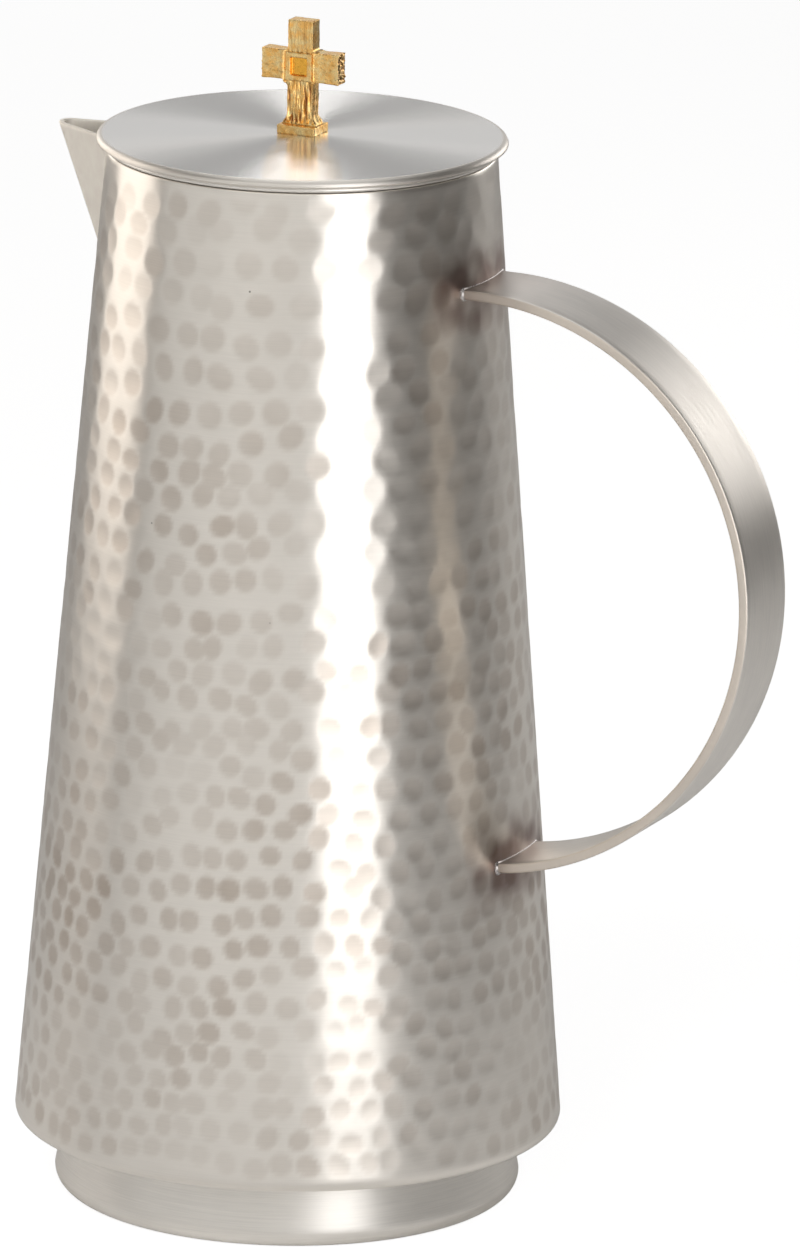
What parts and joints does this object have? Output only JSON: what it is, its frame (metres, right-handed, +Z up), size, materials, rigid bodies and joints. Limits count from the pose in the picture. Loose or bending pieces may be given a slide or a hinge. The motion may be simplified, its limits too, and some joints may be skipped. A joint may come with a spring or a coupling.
{
  "type": "lidded flagon pitcher",
  "caption": "Tapered hammered silver flagon for pouring, with a folded spout, a strap D-handle, a smooth foot and a lift-off lid topped by a gilt cross.",
  "frame": {"origin": "on the body's axis, at the flat underside of the foot that the flagon stands on", "axes": "+Z up along the body's axis, +X towards the handle, -X towards the spout, the cross faces -Y and +Y"},
  "size_m": [0.1993, 0.1394, 0.3043],
  "materials": {
    "hammered_silver": "silver plate, hand-planished with overlapping round hammer marks and finely brushed round",
    "satin_silver": "silver plate, smooth satin, brushed round",
    "lid_silver": "silver plate, flat, brushed in circles",
    "spout_silver": "silver plate, smooth and unhammered, brushed along the fold",
    "strap_silver": "silver plate, satin, brushed lengthwise",
    "inner_silver": "silver plate, smooth spun inside",
    "gilt_cast": "gilded casting with a finely grained face and burnished edges",
    "screw_steel": "turned steel"
  },
  "bodies": {
    "pitcher": {"body_shell": "hammered_silver", "bottom_plate": "inner_silver", "foot_ring": "satin_silver", "foot_plate": "satin_silver", "mouth_rim": "satin_silver", "spout": "spout_silver", "handle_strap": "strap_silver"},
    "lid": {"lid_disc": "lid_silver", "lid_locating_ring": "inner_silver", "finial_cross": "gilt_cast", "finial_washer": "screw_steel", "finial_screw": "screw_steel"}
  },
  "joints": [
    {"name": "lid_lift", "type": "slide", "parent": "pitcher", "child": "lid", "axis": [0, 0, 1], "range_m": [0, 0.06]}
  ]
}
